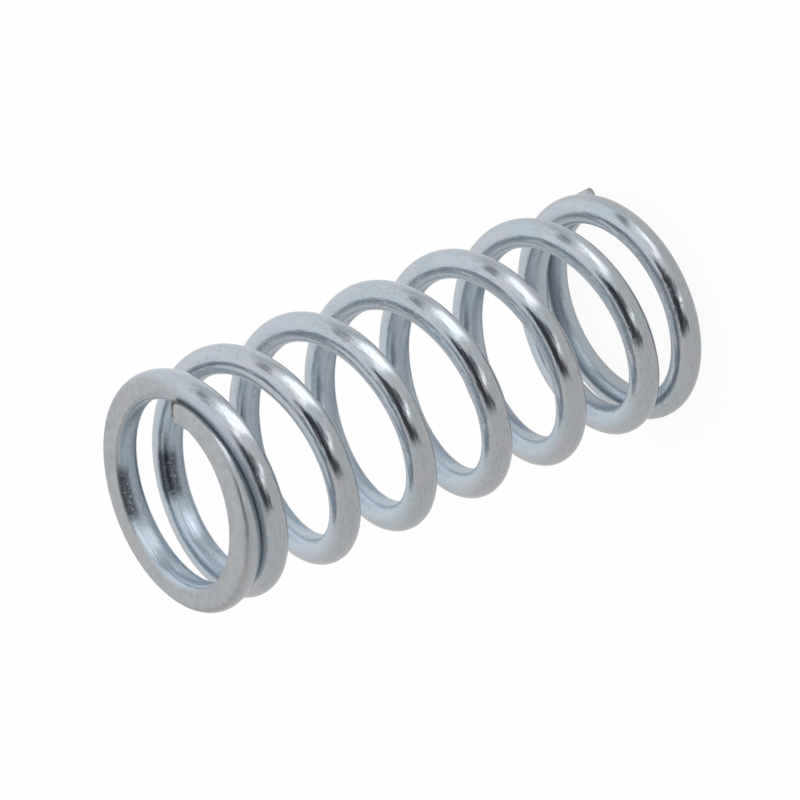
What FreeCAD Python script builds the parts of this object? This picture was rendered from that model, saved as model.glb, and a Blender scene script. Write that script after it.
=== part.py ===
import FreeCAD, Part

import math
import os

# A compression spring coiled from one length of round wire, right-hand, with both ends closed
# and ground flat. It stands on its lower end. The origin is the centre of that ground face and
# +Z runs along the axis of the coil. Lengths are in millimetres and angles are in turns.

# The wire and the coil. The free length is measured on the axis of the coil.
wire_diameter = 2.0
outside_diameter = 16.0
free_length = 38.3
total_turns = 7.94

# The closed turn at each end: the pitch stays closed for a while and then opens gradually
closed_turns = 0.73
opening_turns = 1.1
touch_clearance = 0.03

# The wire that the grinding leaves at each tip
lower_tip_thickness = 0.7
upper_tip_thickness = 0.2

# The upper end is ground a little out of square. Its lowest side lies just past the tip.
upper_face_lean_degrees = 3.8
upper_face_low_side = 0.1

# The upper tip is coiled tighter than the turns below it
tip_curl = 1.0
tip_curl_turns = 0.4

# Points of the centre line in each turn and past each tip
points_per_turn = 16
steps_past_tip = 3

wire_radius = wire_diameter / 2
mean_radius = (outside_diameter - wire_diameter) / 2

# Height of the wire's centre at each tip, where the tip's own thickness meets the grinding plane
tip_radius = mean_radius - tip_curl
face_slope = math.tan(math.radians(upper_face_lean_degrees))
face_drop_at_tip = face_slope * tip_radius * math.cos(2 * math.pi * upper_face_low_side)
lower_tip_height = lower_tip_thickness - wire_radius
upper_tip_height = free_length - face_drop_at_tip - upper_tip_thickness + wire_radius


def opened_share(turns):
    """Turns gained at the full pitch, over turns of opening, as the pitch eases from none to all."""
    part = min(max(turns / opening_turns, 0.0), 1.0)
    eased = opening_turns * (part**3 - part**4 / 2)
    return eased + max(turns - opening_turns, 0.0)


# The tip lies on the turn next to it: one turn in from the tip, the centre line has risen by one
# wire and the clearance. The rest of the length is shared out among the turns between the ends.
half_turns = total_turns / 2
touching_rise = wire_diameter + touch_clearance
half_rise = (upper_tip_height - lower_tip_height) / 2
opened_at_touch = opened_share(1.0 - closed_turns)
opened_at_half = opened_share(half_turns - closed_turns)
closed_at_touch = 1.0 - opened_at_touch
closed_at_half = half_turns - opened_at_half
determinant = opened_at_half * closed_at_touch - opened_at_touch * closed_at_half
active_pitch = (half_rise * closed_at_touch - touching_rise * closed_at_half) / determinant
closed_pitch = (touching_rise * opened_at_half - half_rise * opened_at_touch) / determinant


def rise(turns):
    """Height of the centre line above its own tip, a number of turns in from that tip."""
    opened = opened_share(turns - closed_turns)
    return closed_pitch * (turns - opened) + active_pitch * opened


def centre_line(turns):
    """Point of the wire's centre line, a number of turns up from the lower tip."""
    left = total_turns - turns
    if turns < half_turns:
        height = lower_tip_height + rise(turns)
    else:
        height = upper_tip_height - rise(left)
    curled = max(1.0 - left / tip_curl_turns, 0.0)
    radius = mean_radius - tip_curl * curled**2
    angle = 2 * math.pi * turns
    return FreeCAD.Vector(radius * math.cos(angle), radius * math.sin(angle), height)


def centre_curve():
    """Smooth curve through the centre line. It is drawn past both tips and trimmed back to them."""
    spans = math.ceil(total_turns * points_per_turn)
    steps = range(-steps_past_tip, spans + steps_past_tip + 1)
    points = [centre_line(total_turns * step / spans) for step in steps]
    curve = Part.BSplineCurve()
    curve.interpolate(Points=points, Parameters=[float(step) for step in steps])
    curve.segment(0.0, float(spans))
    return curve


def coiled_wire():
    """The wire as it leaves the coiling machine, cut off square at both tips."""
    curve = centre_curve()
    tip = curve.value(curve.FirstParameter)
    direction = curve.tangent(curve.FirstParameter)[0]
    section = Part.Wire(Part.Circle(tip, direction, wire_radius).toShape())
    path = Part.Wire(curve.toShape())
    as_solid, follow_the_bend = True, True
    return path.makePipeShell([section], as_solid, follow_the_bend)


def between_ground_faces():
    """The space above the lower ground face, z = 0, and below the leaning upper one."""
    side = 2 * outside_diameter
    corner = FreeCAD.Vector(-side / 2, -side / 2, 0)
    above_lower_face = Part.makeBox(side, side, 2 * free_length, corner)
    below_upper_face = Part.makeBox(side, side, 2 * free_length, corner)
    below_upper_face.translate(FreeCAD.Vector(0, 0, -2 * free_length))
    low_side = 2 * math.pi * (total_turns + upper_face_low_side)
    hinge = FreeCAD.Vector(-math.sin(low_side), math.cos(low_side), 0)
    below_upper_face.rotate(FreeCAD.Vector(0, 0, 0), hinge, upper_face_lean_degrees)
    below_upper_face.translate(FreeCAD.Vector(0, 0, free_length))
    return above_lower_face.common(below_upper_face)


def make_spring():
    """The finished spring: the coiled wire with both ends ground flat."""
    ground = coiled_wire().common(between_ground_faces())
    return ground.Solids[0]


spring = make_spring()

os.makedirs("parts", exist_ok=True)
spring.exportStep("parts/spring.step")

print("active pitch", round(active_pitch, 3), "closed pitch", round(closed_pitch, 3))
print("volume", round(spring.Volume, 2), "valid", spring.isValid())
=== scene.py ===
import math

import bpy
import numpy as np
from mathutils import Matrix, Vector


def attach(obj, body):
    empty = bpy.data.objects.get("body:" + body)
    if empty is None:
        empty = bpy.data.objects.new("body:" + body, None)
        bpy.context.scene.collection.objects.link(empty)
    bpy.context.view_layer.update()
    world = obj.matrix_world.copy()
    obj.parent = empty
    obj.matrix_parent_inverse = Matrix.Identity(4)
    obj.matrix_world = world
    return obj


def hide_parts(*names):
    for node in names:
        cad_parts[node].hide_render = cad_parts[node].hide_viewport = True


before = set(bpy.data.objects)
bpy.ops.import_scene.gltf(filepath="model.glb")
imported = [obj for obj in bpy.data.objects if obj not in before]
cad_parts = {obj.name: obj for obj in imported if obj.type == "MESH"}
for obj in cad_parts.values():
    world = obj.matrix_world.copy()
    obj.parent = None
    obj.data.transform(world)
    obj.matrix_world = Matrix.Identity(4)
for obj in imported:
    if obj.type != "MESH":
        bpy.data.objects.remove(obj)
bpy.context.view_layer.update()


# The spring
# One length of round spring wire, cold-coiled right-hand with both ends closed, ground flat, and
# then zinc plated bright. The wire keeps the fine lengthwise lines of its drawing die, with small
# pits and rub marks in the plate, and the ground ends are matt grey. Lengths are in metres.

wire_radius = 0.001
coil_radius = 0.007
free_length = 0.0383
total_turns = 7.94

# The pitch stays closed for a while at each end and then opens gradually
closed_turns = 0.73
opening_turns = 1.1
touch_clearance = 0.00003

# The wire that the grinding leaves at each tip, and the lean of the upper ground face
lower_tip_thickness = 0.0007
upper_tip_thickness = 0.0002
upper_face_slope = math.tan(math.radians(3.8))
upper_face_low_side = 0.1

# The upper tip is coiled tighter than the turns below it, and the lower tip springs out a little
tip_curl = 0.001
tip_curl_turns = 0.4
tip_flare = 0.00026
tip_flare_turns = 0.05

# Height of the wire's centre at each tip, where the tip's own thickness meets the grinding plane
low_side_angle = 2 * math.pi * (total_turns + upper_face_low_side)
tip_to_low_side = math.cos(2 * math.pi * upper_face_low_side)
drop_at_tip = upper_face_slope * (coil_radius - tip_curl) * tip_to_low_side
lower_tip_height = lower_tip_thickness - wire_radius
upper_tip_height = free_length - drop_at_tip - upper_tip_thickness + wire_radius


def opened_share(turns):
    """Turns gained at the full pitch, as the pitch eases from closed to open."""
    part = np.clip(turns / opening_turns, 0, 1)
    return opening_turns * (part**3 - part**4 / 2) + np.maximum(turns - opening_turns, 0)


# One turn in from a tip, the centre line has risen by one wire and the clearance. The rest of the
# length is shared out among the turns between the ends.
half_turns = total_turns / 2
touching_rise = 2 * wire_radius + touch_clearance
half_rise = (upper_tip_height - lower_tip_height) / 2
opened_at_touch = opened_share(1 - closed_turns)
opened_at_half = opened_share(half_turns - closed_turns)
closed_at_touch = 1 - opened_at_touch
closed_at_half = half_turns - opened_at_half
balance = opened_at_half * closed_at_touch - opened_at_touch * closed_at_half
active_pitch = (half_rise * closed_at_touch - touching_rise * closed_at_half) / balance
closed_pitch = (touching_rise * opened_at_half - half_rise * opened_at_touch) / balance


def rise(turns):
    """Height of the centre line above its own tip, a number of turns in from that tip."""
    opened = opened_share(turns - closed_turns)
    return closed_pitch * (turns - opened) + active_pitch * opened


def centre_line(turns):
    """Points of the wire's centre line, a number of turns up from the lower tip."""
    left = total_turns - turns
    from_below, from_above = lower_tip_height + rise(turns), upper_tip_height - rise(left)
    height = np.where(turns < half_turns, from_below, from_above)
    radius = coil_radius - tip_curl * np.maximum(1 - left / tip_curl_turns, 0) ** 2
    radius = radius + tip_flare * np.clip(1 - turns / tip_flare_turns, 0, 1) ** 2
    angle = 2 * math.pi * turns
    return np.stack([radius * np.cos(angle), radius * np.sin(angle), height], -1)


# The wire's direction is taken between two places this far before and after it, in turns
slope_step = 0.0005


def wire_frames(turns):
    """Centre, outward and upward directions of the wire's cross-section at each place."""
    centre = centre_line(turns)
    forward = centre_line(turns + slope_step) - centre_line(turns - slope_step)
    forward /= np.linalg.norm(forward, axis=-1, keepdims=True)
    angle = 2 * math.pi * turns
    outward = np.stack([np.cos(angle), np.sin(angle), 0 * angle], -1)
    outward -= forward * np.sum(outward * forward, axis=-1, keepdims=True)
    outward /= np.linalg.norm(outward, axis=-1, keepdims=True)
    return centre, outward, np.cross(outward, forward)


# The two grinding planes: a point on each, and the direction that the grinding took away
upper_direction = np.array([
    upper_face_slope * math.cos(low_side_angle),
    upper_face_slope * math.sin(low_side_angle),
    1.0,
])
upper_direction /= np.linalg.norm(upper_direction)
grinding_planes = {
    "lower": (np.array([0.0, 0.0, 0.0]), np.array([0.0, 0.0, -1.0])),
    "upper": (np.array([0.0, 0.0, free_length]), upper_direction),
}


def ground_cut(turns, end):
    """Direction of the grinding plane round the wire, and the half angle that it takes off."""
    point, direction = grinding_planes[end]
    centre, outward, upward = wire_frames(turns)
    depth = (centre - point) @ direction
    across = wire_radius * (outward @ direction)
    along = wire_radius * (upward @ direction)
    reach = np.hypot(across, along)
    return np.arctan2(along, across), np.arccos(np.clip(-depth / reach, -1, 1))


# Each grinding plane leaves the wire somewhere in this range of turns in from its tip
leaves_between = (0.3, 1.0)
halvings = 50


def last_ground_turn(end):
    """Turns in from a tip at which the grinding plane just leaves the wire."""
    near, far = leaves_between
    for _ in range(halvings):
        middle = (near + far) / 2
        turns = middle if end == "lower" else total_turns - middle
        if ground_cut(np.array([turns]), end)[1][0] > 0:
            near = middle
        else:
            far = middle
    return (near + far) / 2


lower_leave = last_ground_turn("lower")
upper_leave = total_turns - last_ground_turn("upper")

# Rings of points along the wire, closer together where each ground face runs out to nothing and
# where the corners of the tips are rounded. The steps are in turns.
rings_per_turn = 108
steps_beside_leave = (0.0002, 0.001, 0.0025, 0.005)
steps_beside_tip = (0.0002, 0.0006, 0.0013, 0.0024, 0.004, 0.006)
ring_turns = set(np.linspace(0, total_turns, int(total_turns * rings_per_turn) + 1).tolist())
for leave in (lower_leave, upper_leave):
    for step in steps_beside_leave:
        ring_turns.update((leave - step, leave + step))
for step in steps_beside_tip:
    ring_turns.update((step, total_turns - step))
ring_turns = np.array(sorted(ring_turns))
ring_count = len(ring_turns)

# Each ring is eight runs of points: the lower and the upper strip, which the grinding makes flat,
# the edges beside them, which tumbling has rounded, and the two untouched sides between
strip_steps = 12
edge_steps = 5
side_steps = 16
around_count = 2 * (strip_steps + 2 * edge_steps + side_steps)
step_angle = 2 * math.pi / around_count

# The most that an edge is rounded, in wire radii, and as a share of the wire's height left there
outer_edge_round = (0.36, 0.3)
inner_edge_round = (0.1, 0.08)

# Past a ground face, the strip's points spread round the wire to their even places in this run
blend_turns = 0.06


def cut_run(half_angle, edge_round):
    """Half width of the flat, its height and the rounding of its edge, in wire radii."""
    height = math.cos(half_angle)
    most, share = edge_round
    rounding = min(most, share * (1 + height))
    half_width = math.sqrt(max((1 - rounding) ** 2 - (height - rounding) ** 2, 0))
    return half_width, height, rounding


def turned_by(angle, place):
    """A place in the cross-section, turned about the wire's centre."""
    across, along = place
    turned_across = across * math.cos(angle) - along * math.sin(angle)
    turned_along = across * math.sin(angle) + along * math.cos(angle)
    return turned_across, turned_along


def strip_and_edges(middle, half_angle, is_cut, eased, rounds):
    """Points of an edge, the strip and the other edge, and the angles where the sides begin."""
    if not is_cut:
        reach = (strip_steps / 2 + edge_steps) * step_angle * eased
        steps = strip_steps + 2 * edge_steps
        angles = [middle - reach + 2 * reach * k / steps for k in range(steps)]
        on_round = [(math.cos(angle), math.sin(angle)) for angle in angles]
        return on_round, middle - reach, middle + reach
    (width_before, height, round_before), (width_after, _, round_after) = (
        cut_run(half_angle, edge_round) for edge_round in rounds
    )
    angle_before = math.atan2(width_before, height - round_before)
    angle_after = math.atan2(width_after, height - round_after)
    run = []
    for k in range(edge_steps):
        angle = -angle_before * (1 - k / edge_steps)
        run.append((
            height - round_before + round_before * math.cos(angle),
            -width_before + round_before * math.sin(angle),
        ))
    for k in range(strip_steps):
        share = k / strip_steps
        run.append((height, -width_before + (width_before + width_after) * share))
    for k in range(edge_steps):
        angle = angle_after * k / edge_steps
        run.append((
            height - round_after + round_after * math.cos(angle),
            width_after + round_after * math.sin(angle),
        ))
    return [turned_by(middle, place) for place in run], middle - angle_before, middle + angle_after


centre, outward, upward = wire_frames(ring_turns)
strips = {}
for end, leave in (("lower", lower_leave), ("upper", upper_leave)):
    to_plane, taken_off = ground_cut(ring_turns, end)
    past = (ring_turns - leave) if end == "lower" else (leave - ring_turns)
    eased = np.clip(past / blend_turns, 0, 1)
    straight_to = -math.pi / 2 if end == "lower" else math.pi / 2
    to_plane = np.where(past < 0, to_plane, to_plane + (straight_to - to_plane) * eased)
    strips[end] = (to_plane, taken_off, past < 0, eased * (2 - eased))

points = []
for i in range(ring_count):
    lower_strip = [value[i] for value in strips["lower"]]
    upper_strip = [value[i] for value in strips["upper"]]
    low, low_start, low_stop = strip_and_edges(*lower_strip, (inner_edge_round, outer_edge_round))
    top, top_start, top_stop = strip_and_edges(*upper_strip, (outer_edge_round, inner_edge_round))
    ring = []
    for run, start, stop in ((low, low_stop, top_start), (top, top_stop, low_start + 2 * math.pi)):
        angles = [start + (stop - start) * k / side_steps for k in range(side_steps)]
        ring += run + [(math.cos(angle), math.sin(angle)) for angle in angles]
    points.append(ring)
points = np.array(points)

# The coiling mandrel has pressed the inner side of the wire a little flat, in wire radii, and the
# metal has swelled a little beside the flat
mandrel_press = 0.1
flat_from = 0.5
pressed = np.clip((-points[:, :, 0] - flat_from) / (1 - flat_from), 0, 1)
points[:, :, 0] += mandrel_press * pressed**2 * (4 * pressed - 1) / 3

# The curled upper tip is bedded down on the turn below it, so that no light shows between them.
# The turns touch at this distance between their centres, in wire radii.
touching_apart = 2.02
most_bedding = 0.3
on_end_turn = ring_turns > total_turns - 1
below = centre_line(ring_turns - 1) - centre
towards_below = np.stack([np.sum(below * outward, axis=1), np.sum(below * upward, axis=1)], -1)
towards_below /= wire_radius
apart_below = np.linalg.norm(towards_below, axis=1, keepdims=True)
towards_below /= apart_below
bedding = np.where(on_end_turn, np.clip(apart_below[:, 0] - touching_apart, 0, most_bedding), 0)
facing_below = np.clip(np.sum(points * towards_below[:, None, :], axis=2), 0, 1)
points += (bedding[:, None] * facing_below**2)[:, :, None] * towards_below[:, None, :]

# Tumbling has taken the sharp corners off both cut tips: how far in from each tip, and the share
# of the wire's radius that it took there
lower_tip_round, lower_tip_taken = 0.0003, 0.5
upper_tip_round, upper_tip_taken = 0.0004, 0.7
step_lengths = np.linalg.norm(np.diff(centre, axis=0), axis=1)
from_lower_tip = np.concatenate([[0], np.cumsum(step_lengths)])
from_upper_tip = from_lower_tip[-1] - from_lower_tip
for from_tip, corner_round, taken in (
    (from_lower_tip, lower_tip_round, lower_tip_taken),
    (from_upper_tip, upper_tip_round, upper_tip_taken),
):
    turned_off = np.clip(1 - from_tip / corner_round, 0, 1)
    kept = 1 - taken * (1 - np.sqrt(1 - turned_off**2))
    section_middle = points.mean(axis=1, keepdims=True)
    points = section_middle + (points - section_middle) * kept[:, None, None]

across_wire = points[:, :, :1] * outward[:, None, :] + points[:, :, 1:] * upward[:, None, :]
surface = centre[:, None, :] + wire_radius * across_wire

# The skin between the rings, and a flat cap on each tip
faces = []
face_is_ground = []
half_around = around_count // 2
for i in range(ring_count - 1):
    near, far = i * around_count, (i + 1) * around_count
    for k in range(around_count):
        after = (k + 1) % around_count
        faces.append((near + k, near + after, far + after, far + k))
        in_strip = edge_steps <= k % half_around < edge_steps + strip_steps
        is_cut = strips["lower" if k < half_around else "upper"][2]
        face_is_ground.append(bool(in_strip and is_cut[i] and is_cut[i + 1]))
faces.append(tuple(reversed(range(around_count))))
faces.append(tuple((ring_count - 1) * around_count + k for k in range(around_count)))

spring_mesh = bpy.data.meshes.new("spring_wire")
spring_mesh.from_pydata(surface.reshape(-1, 3).tolist(), [], faces)
spring_mesh.validate()
caps_smooth = [False, False]
smooth = [not is_ground for is_ground in face_is_ground] + caps_smooth
spring_mesh.polygons.foreach_set("use_smooth", smooth)

# Places on the wire as if it were pulled straight, in millimetres: x along it, y and z across it
millimetres_per_metre = 1000
straight = np.zeros((ring_count, around_count, 3), np.float32)
straight[:, :, 0] = from_lower_tip[:, None] * millimetres_per_metre
straight[:, :, 1:] = points * wire_radius * millimetres_per_metre
straight_layer = spring_mesh.attributes.new("straight_place", "FLOAT_VECTOR", "POINT")
straight_layer.data.foreach_set("vector", straight.ravel())


def eased_share(value, low, high):
    """Share from 0 at low to 1 at high, with a soft start and end."""
    part = np.clip((value - low) / (high - low), 0, 1)
    return part * part * (3 - 2 * part)


# The matt finish of the grinding fades out over the rounded edges, in wire radii below each plane,
# and sooner on the inner side, where the edges are sharper. The cut tips have it too, in metres.
finish_fades = (0.02, 0.55)
fades_sooner_inside = 2
tip_finish_fades = (0.00015, 0.0005)
ground = np.zeros((ring_count, around_count))
for point, direction in grinding_planes.values():
    depth = (point - surface) @ direction / wire_radius
    depth *= 1 + fades_sooner_inside * np.clip(-points[:, :, 0], 0, 1)
    ground = np.maximum(ground, 1 - eased_share(depth, *finish_fades))
for from_tip in (from_lower_tip, from_upper_tip):
    ground = np.maximum(ground, 1 - eased_share(from_tip, *tip_finish_fades)[:, None])
finish_layer = spring_mesh.attributes.new("ground_finish", "FLOAT", "POINT")
finish_layer.data.foreach_set("value", ground.astype(np.float32).ravel())

# The grooves between touching turns, where the plate is thin and dull, and where a paler blue grey
# is painted over it as painted light that softens the shade falling there: the gap to the next
# turn in wire radii, the turns left before the tip, and the side of the wire that faces that turn
groove_gap = (0.05, 0.9)
groove_turns_left = (-0.01, 0.02)
groove_side = (0.55, 0.98)
groove = np.zeros((ring_count, around_count))
for way in (1, -1):
    gap = np.linalg.norm(centre_line(ring_turns + way) - centre, axis=1) / wire_radius - 2
    turns_left = (total_turns - ring_turns if way == 1 else ring_turns) - 1
    touching = (1 - eased_share(gap, *groove_gap)) * eased_share(turns_left, *groove_turns_left)
    facing = eased_share(way * points[:, :, 1], *groove_side)
    groove = np.maximum(groove, touching[:, None] * facing)
groove_layer = spring_mesh.attributes.new("in_groove", "FLOAT", "POINT")
groove_layer.data.foreach_set("value", groove.astype(np.float32).ravel())

spring = bpy.data.objects.new("spring_wire", spring_mesh)
bpy.context.scene.collection.objects.link(spring)

plated = bpy.data.materials.new("bright_zinc_plate")
plated.use_nodes = True
nodes, links = plated.node_tree.nodes, plated.node_tree.links
surface_shader = nodes["Principled BSDF"]


def add(kind, **settings):
    """A new node in the node tree at hand, which nodes and links name, with its settings."""
    node = nodes.new("ShaderNode" + kind)
    for name, value in settings.items():
        setattr(node, name, value)
    return node


def set_input(socket, value):
    """Feeds a socket from another node's output, or with a plain value."""
    if isinstance(value, bpy.types.NodeSocket):
        links.new(value, socket)
    else:
        socket.default_value = value


def work_out(operation, *values):
    """One step of arithmetic."""
    node = add("Math", operation=operation)
    for socket, value in zip(node.inputs, values):
        set_input(socket, value)
    return node.outputs[0]


def vector_work(operation, first, second=(0, 0, 0)):
    """One step of arithmetic on directions or places."""
    node = add("VectorMath", operation=operation)
    set_input(node.inputs[0], first)
    set_input(node.inputs[1], second)
    return node.outputs["Value" if operation == "DOT_PRODUCT" else "Vector"]


def noise(place, stretch, detail, roughness):
    """Soft cloudy noise from 0 to 1. A larger stretch makes it finer in that direction."""
    node = add("TexNoise")
    set_input(node.inputs["Vector"], vector_work("MULTIPLY", place, stretch))
    node.inputs["Scale"].default_value = 1.0
    node.inputs["Detail"].default_value = detail
    node.inputs["Roughness"].default_value = roughness
    return node.outputs["Fac"]


def ramp(value, low, high, to_low=0.0, to_high=1.0):
    """Spreads the values between low and high smoothly over a new range."""
    node = add("MapRange", interpolation_type="SMOOTHSTEP")
    inputs = (value, low, high, to_low, to_high)
    for name, number in zip(("Value", "From Min", "From Max", "To Min", "To Max"), inputs):
        set_input(node.inputs[name], number)
    return node.outputs["Result"]


def blend_colours(share, first, second):
    """The first colour where the share is 0, the second where it is 1."""
    node = add("Mix", data_type="RGBA")
    set_input(node.inputs[0], share)
    set_input(node.inputs[6], first)
    set_input(node.inputs[7], second)
    return node.outputs[2]


def blend_values(share, first, second):
    """The first value where the share is 0, the second where it is 1."""
    node = add("Mix", data_type="FLOAT")
    set_input(node.inputs[0], share)
    set_input(node.inputs[2], first)
    set_input(node.inputs[3], second)
    return node.outputs[0]


place = add("Attribute", attribute_name="straight_place").outputs["Vector"]
on_ground_face = add("Attribute", attribute_name="ground_finish").outputs["Fac"]
in_groove = add("Attribute", attribute_name="in_groove").outputs["Fac"]
place_parts = add("SeparateXYZ")
set_input(place_parts.inputs[0], place)
along_wire, out_from_axis = place_parts.outputs["X"], place_parts.outputs["Y"]
inner_side = ramp(out_from_axis, 0.0, -0.65)

# The drawing lines run along the wire, and the coiling tools left marks across it
coarse_lines = noise(place, (0.35, 4.0, 4.0), 1.0, 0.6)
fine_lines = noise(place, (1.3, 11.0, 11.0), 1.0, 0.6)
cross_marks = noise(place, (6.0, 1.2, 1.2), 1.0, 0.6)
grain = noise(place, (4.0, 7.0, 7.0), 2.0, 0.65)

# Patches where coiling and tumbling have rubbed and pitted the plate
patches = ramp(noise(place, (0.35, 0.6, 0.6), 1.0, 0.5), 0.46, 0.64)
pits = ramp(noise(place, (3.0, 6.0, 6.0), 2.0, 0.7), 0.54, 0.68)
rubbed = work_out("MULTIPLY", patches, pits)

# Painted dark reflections on the inner side of two turns near the upper end, standing in for the
# dark
# things that the wire mirrors there: the turn and the half length in millimetres of each, and the
# side of the wire where they lie
dark_reflection_sizes = ((6.25, 1.7), (7.25, 1.9))
dark_reflection_end_fade = 0.6
dark_reflection_side = (0.0, -0.82, 0.57)
on_dark_reflection_side = ramp(vector_work("DOT_PRODUCT", place, dark_reflection_side), 0.6, 0.85)
rungs = noise(place, (9.0, 2.0, 2.0), 1.0, 0.6)
painted_dark_reflections = 0.0
for reflection_turn, half_length in dark_reflection_sizes:
    reflection_middle = float(np.interp(reflection_turn, ring_turns, from_lower_tip))
    reflection_middle *= millimetres_per_metre
    from_middle = work_out("ABSOLUTE", work_out("SUBTRACT", along_wire, reflection_middle))
    fade_from, fade_to = half_length - dark_reflection_end_fade, half_length + dark_reflection_end_fade
    painted_dark_reflections = work_out("MAXIMUM", painted_dark_reflections, ramp(from_middle, fade_from, fade_to, 1.0, 0.0))
painted_dark_reflections = work_out("MULTIPLY", painted_dark_reflections, on_dark_reflection_side)
painted_dark_reflections = work_out("MULTIPLY", painted_dark_reflections, ramp(work_out("ADD", rungs, grain), 0.6, 0.95))

# The grinding marks on the end faces. The places there are in metres.
spot = add("TexCoord").outputs["Object"]
grinding = noise(spot, (2500.0, 8000.0, 2500.0), 2.0, 0.6)
face_cloud = noise(spot, (1800.0, 1800.0, 1800.0), 3.0, 0.65)

# The plate's own colours, from blue through lavender to teal, worn grey where it is rubbed. Over
# them go painted light, a paler and bluer inner side and paler grooves, and painted dark
# reflections on two turns near the upper end.
blue_plate = (0.50, 0.55, 0.605, 1)
lavender_plate = (0.53, 0.55, 0.595, 1)
teal_plate = (0.47, 0.545, 0.59, 1)
# painted light that makes the inner side of the wire paler and bluer
inner_painted_light = (0.535, 0.625, 0.705, 1)
worn_plate = (0.4, 0.4, 0.4, 1)
# the colour of the painted dark reflections on two turns near the upper end
painted_reflection_dark = (0.1, 0.11, 0.125, 1)
# painted light that softens the shade in the grooves between touching turns
groove_painted_light = (0.55, 0.62, 0.68, 1)
tint = noise(place, (0.25, 0.5, 0.5), 2.0, 0.5)
cloud = noise(place, (0.6, 0.9, 0.9), 3.0, 0.55)
outer_side = ramp(out_from_axis, 0.1, 0.9, 0.0, 0.4)
worn_outside = work_out("MULTIPLY", outer_side, ramp(fine_lines, 0.45, 0.65))
plate_colour = blend_colours(ramp(tint, 0.35, 0.65), teal_plate, blue_plate)
for share, other_colour in (
    (ramp(cloud, 0.4, 0.7), lavender_plate),
    (worn_outside, worn_plate),
    (work_out("MULTIPLY", rubbed, 0.7), worn_plate),
    # painted light on the inner side
    (work_out("MULTIPLY", inner_side, 0.8), inner_painted_light),
    # painted dark reflections on two turns near the upper end
    (work_out("MULTIPLY", painted_dark_reflections, 0.9), painted_reflection_dark),
    # painted light in the grooves between touching turns
    (work_out("MULTIPLY", in_groove, 0.6), groove_painted_light),
):
    plate_colour = blend_colours(share, plate_colour, other_colour)

# The ground faces are paler in clouds, with a warm stain in places
ground_grey = (0.42, 0.44, 0.46, 1)
ground_pale = (0.49, 0.505, 0.52, 1)
warm_stain = (0.5, 0.485, 0.465, 1)
fine_and_coarse = work_out(
    "ADD", work_out("MULTIPLY", grinding, 0.3), work_out("MULTIPLY", face_cloud, 0.7)
)
face_colour = blend_colours(ramp(fine_and_coarse, 0.38, 0.62), ground_grey, ground_pale)
face_colour = blend_colours(ramp(tint, 0.5, 0.75, 0.0, 0.45), face_colour, warm_stain)
colour = blend_colours(on_ground_face, plate_colour, face_colour)
links.new(colour, surface_shader.inputs["Base Color"])

# The gloss: the plate is smeared along the wire, and duller where it is rubbed, in the grooves
# and on the inner side
ground_roughness = 0.48
smear = noise(place, (0.8, 6.0, 6.0), 3.0, 0.6)
wire_roughness = ramp(smear, 0.3, 0.7, 0.11, 0.2)
for duller_place, added in ((rubbed, 0.15), (in_groove, 0.35), (inner_side, 0.15)):
    wire_roughness = work_out("ADD", wire_roughness, work_out("MULTIPLY", duller_place, added))
roughness = blend_values(on_ground_face, wire_roughness, ground_roughness)
links.new(roughness, surface_shader.inputs["Roughness"])

# The relief of the lines, the marks and the pits. The lines are fainter on the inner side.
relief_height = 0.000026
marks_share = work_out("ADD", 0.1, work_out("MULTIPLY", inner_side, patches))
marks_share = work_out("MULTIPLY", marks_share, 0.65)
lines_share = work_out("SUBTRACT", 1.0, work_out("MULTIPLY", inner_side, 0.6))
wire_relief = work_out(
    "ADD", work_out("MULTIPLY", coarse_lines, 0.25), work_out("MULTIPLY", fine_lines, 0.45)
)
wire_relief = work_out("MULTIPLY", wire_relief, lines_share)
marks = work_out("MULTIPLY", work_out("ADD", cross_marks, grain), marks_share)
wire_relief = work_out("ADD", wire_relief, marks)
wire_relief = work_out("SUBTRACT", wire_relief, work_out("MULTIPLY", rubbed, 0.15))
face_relief = work_out(
    "ADD", work_out("MULTIPLY", grinding, 0.4), work_out("MULTIPLY", face_cloud, 0.8)
)
bump = add("Bump")
bump.inputs["Strength"].default_value = 1.0
bump.inputs["Distance"].default_value = relief_height
set_input(bump.inputs["Height"], blend_values(on_ground_face, wire_relief, face_relief))
links.new(bump.outputs["Normal"], surface_shader.inputs["Normal"])

surface_shader.inputs["Metallic"].default_value = 0.95
spring.data.materials.append(plated)

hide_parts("spring")
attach(spring, "root")


# The floor
# A plain white sheet of board under the spring. It glows white to the camera, and to the polished
# wire it glows with a painted reflection of the tent, with a painted pool of lamp light, a slit
# and a grey fold. A small share of it is lit by the tent, so that the spring keeps a soft shadow
# there.

floor_half = 0.6
corner_sides = ((-1, -1), (1, -1), (1, 1), (-1, 1))
floor_corners = [(x * floor_half, y * floor_half, 0) for x, y in corner_sides]
floor_mesh = bpy.data.meshes.new("floor")
floor_mesh.from_pydata(floor_corners, [], [(0, 1, 2, 3)])
floor = bpy.data.objects.new("floor", floor_mesh)
bpy.context.scene.collection.objects.link(floor)
board = bpy.data.materials.new("white_board")
board.use_nodes = True
nodes, links = board.node_tree.nodes, board.node_tree.links
nodes.remove(nodes["Principled BSDF"])


def towards(azimuth, height):
    """The direction at an azimuth and a height above the floor, in degrees."""
    a, h = math.radians(azimuth), math.radians(height)
    return Vector((math.cos(h) * math.cos(a), math.cos(h) * math.sin(a), math.sin(h)))


# The tent's cloth, brighter on one side, which is painted into the board's glow, so that the wire
# mirrors it from the board as it does from the tent itself
shaded_cloth = (0.72, 0.69, 0.67, 1)
lit_cloth = (1.0, 1.02, 1.05, 1)
bright_side = towards(15, 25)


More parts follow.
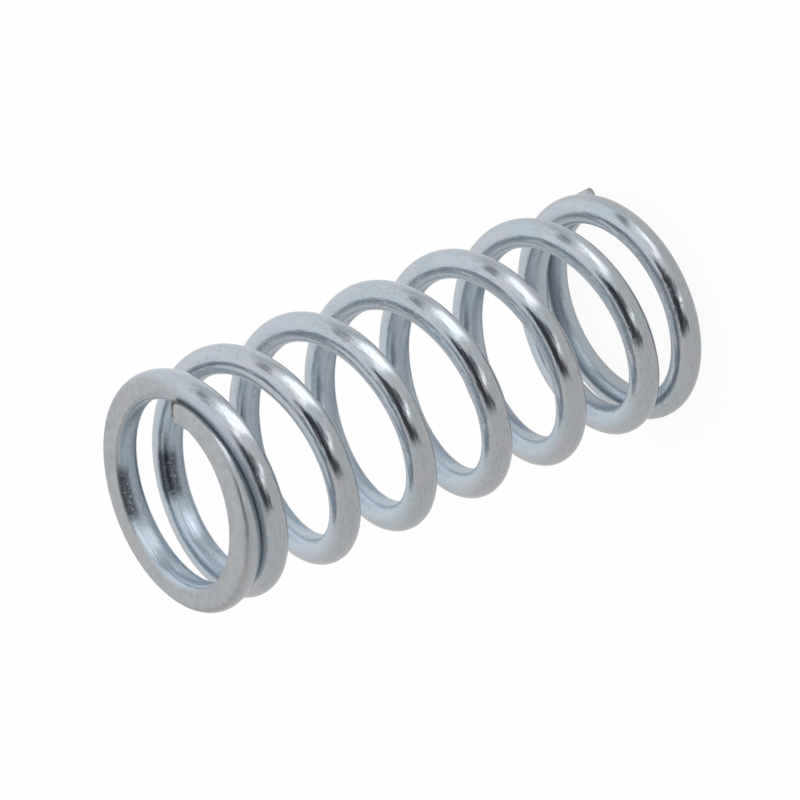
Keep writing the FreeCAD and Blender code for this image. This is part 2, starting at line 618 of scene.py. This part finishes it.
def tent_cloth(direction):
    """The cloth's colour in a direction from the spring, brighter towards one side."""
    to_bright_side = vector_work("DOT_PRODUCT", direction, bright_side)
    return blend_colours(ramp(to_bright_side, -0.6, 0.9), shaded_cloth, lit_cloth)


spot = add("TexCoord").outputs["Object"]


def fan_on_floor(azimuth, inner_spread, outer_spread, starts, full):
    """Mask of a fan-shaped part of the floor that opens away from the spring, in metres."""
    side = math.radians(azimuth)
    out = vector_work("DOT_PRODUCT", spot, (math.cos(side), math.sin(side), 0))
    aside = vector_work("DOT_PRODUCT", spot, (-math.sin(side), math.cos(side), 0))
    spread = work_out("DIVIDE", work_out("ABSOLUTE", aside), work_out("MAXIMUM", out, 0.001))
    in_fan = ramp(spread, inner_spread, outer_spread, 1.0, 0.0)
    return work_out("MULTIPLY", in_fan, ramp(out, starts, full))


# Painted light and shade on the board for the wire to mirror: the lamp's pool of light, the slit
# beside the camera and the grey fold, carried on down from the tent onto the floor
lamp_white = (2.2, 2.2, 2.2, 1)
slit_white = (1.7, 1.7, 1.7, 1)
painted_fold_shade = (0.5, 0.51, 0.53, 1)
painted_lamp_pool = fan_on_floor(-37, 0.2, 0.36, 0.014, 0.034)
painted_slit_pool = fan_on_floor(-87, 0.05, 0.1, 0.08, 0.14)
painted_fold_mask = fan_on_floor(0, 0.1, 0.3, 0.01, 0.03)
from_spring = vector_work("ADD", spot, (0, 0, -free_length / 2))
cloth = tent_cloth(vector_work("NORMALIZE", from_spring))
for share, other_colour in (
    (work_out("MULTIPLY", painted_fold_mask, 0.6), painted_fold_shade),
    (painted_lamp_pool, lamp_white),
    (painted_slit_pool, slit_white),
):
    cloth = blend_colours(share, cloth, other_colour)

# What the camera sees glows plain white, and what the wire mirrors glows as the cloth with its
# painted pools and fold
board_white = (1.03, 1.03, 1.03, 1)
glowing_share = 0.9
lit = add("BsdfDiffuse")
lit.inputs["Color"].default_value = (0.9, 0.9, 0.9, 1)
ray = add("LightPath")
reflected = work_out("MAXIMUM", ray.outputs["Is Glossy Ray"], ray.outputs["Is Transmission Ray"])
glow = add("Emission")
links.new(blend_colours(reflected, board_white, cloth), glow.inputs["Color"])
seen = work_out("MAXIMUM", ray.outputs["Is Camera Ray"], reflected)
mixed = add("MixShader")
links.new(work_out("MULTIPLY", seen, glowing_share), mixed.inputs["Fac"])
links.new(lit.outputs["BSDF"], mixed.inputs[1])
links.new(glow.outputs["Emission"], mixed.inputs[2])
links.new(mixed.outputs["Shader"], nodes["Material Output"].inputs["Surface"])
floor.data.materials.append(board)


# The light
# A white tent all round the spring, at a plain level. It has soft lamps behind its cloth, a grey
# fold beside them, and a dark gap in front for the camera, with a bright slit beside it.

world = bpy.data.worlds.new("white_tent")
bpy.context.scene.world = world
world.use_nodes = True
nodes, links = world.node_tree.nodes, world.node_tree.links
around = add("TexCoord").outputs["Generated"]


def panel(azimuth, height, half_width, half_height, edge, lean):
    """Mask of a soft-edged panel of the tent, seen from the spring. The angles are in degrees."""
    middle = towards(azimuth, height)
    level = Vector((-middle.y, middle.x, 0)).normalized()
    upright = middle.cross(level)
    turned = math.radians(lean)
    sideways = math.cos(turned) * level + math.sin(turned) * upright
    upwards = math.cos(turned) * upright - math.sin(turned) * level
    facing = work_out("MAXIMUM", vector_work("DOT_PRODUCT", around, middle), 0.01)
    masks = []
    for direction, half in ((sideways, half_width), (upwards, half_height)):
        reach = work_out("ABSOLUTE", vector_work("DOT_PRODUCT", around, direction))
        fades_from, fades_to = (math.tan(math.radians(half + way * edge)) for way in (-1, 1))
        masks.append(ramp(work_out("DIVIDE", reach, facing), fades_from, fades_to, 1.0, 0.0))
    return work_out("MULTIPLY", *masks)


# Azimuth, height, half width, half height, soft edge and lean of each panel, and its shade: the
# grey fold, three lamps, the dark gap with its two sides, and the slit
panels = (
    ((-6, 12, 7, 28, 3, 0), (0.38, 0.39, 0.42, 1)),
    ((-40, -4, 13, 14, 4, 0), lamp_white),
    ((-27, 10, 4, 12, 3, 0), (1.5, 1.5, 1.5, 1)),
    ((-51, 14, 4.5, 14, 3, 10), (1.7, 1.7, 1.7, 1)),
    ((-99, 48, 29, 20, 3.5, 0), (0.03, 0.03, 0.04, 1)),
    ((-118, 16, 7, 15, 4, 0), (0.08, 0.08, 0.09, 1)),
    ((-82, 20, 9, 13, 3.5, 0), (0.17, 0.17, 0.19, 1)),
    ((-95, 5, 2.2, 13, 1.5, 30), (2.6, 2.6, 2.6, 1)),
)
tent = tent_cloth(around)
for shape, shade in panels:
    tent = blend_colours(panel(*shape), tent, shade)
ray = add("LightPath")
seen = blend_colours(ray.outputs["Is Camera Ray"], tent, (1, 1, 1, 1))
links.new(seen, nodes["Background"].inputs["Color"])
nodes["Background"].inputs["Strength"].default_value = 1.0


# The camera
# A long lens 450 mm away and 33 degrees above the floor, turned on its side, because the
# photograph shows the spring lying down.

view_azimuth = -77.71
view_height = 33.18
view_roll = math.radians(-113.19)
view_distance = 0.4531
offset_right = -0.000364
offset_up = -0.000245

towards_camera = towards(view_azimuth, view_height)
side = math.radians(view_azimuth)
level_right = Vector((-math.sin(side), math.cos(side), 0))
level_up = towards_camera.cross(level_right)
camera_right = math.cos(view_roll) * level_right + math.sin(view_roll) * level_up
camera_up = math.cos(view_roll) * level_up - math.sin(view_roll) * level_right
spring_middle = Vector((0, 0, free_length / 2))
camera_place = spring_middle + view_distance * towards_camera
camera_place = camera_place + offset_right * camera_right + offset_up * camera_up

camera_data = bpy.data.cameras.new("camera")
camera_data.sensor_width = 36
camera_data.lens = 314.39
camera_data.clip_start = 0.01
camera_data.clip_end = 20
camera = bpy.data.objects.new("camera", camera_data)
bpy.context.scene.collection.objects.link(camera)
turned = Matrix((camera_right, camera_up, towards_camera)).transposed().to_4x4()
camera.matrix_world = Matrix.Translation(camera_place) @ turned
bpy.context.scene.camera = camera

bpy.context.scene.view_settings.view_transform = "Standard"
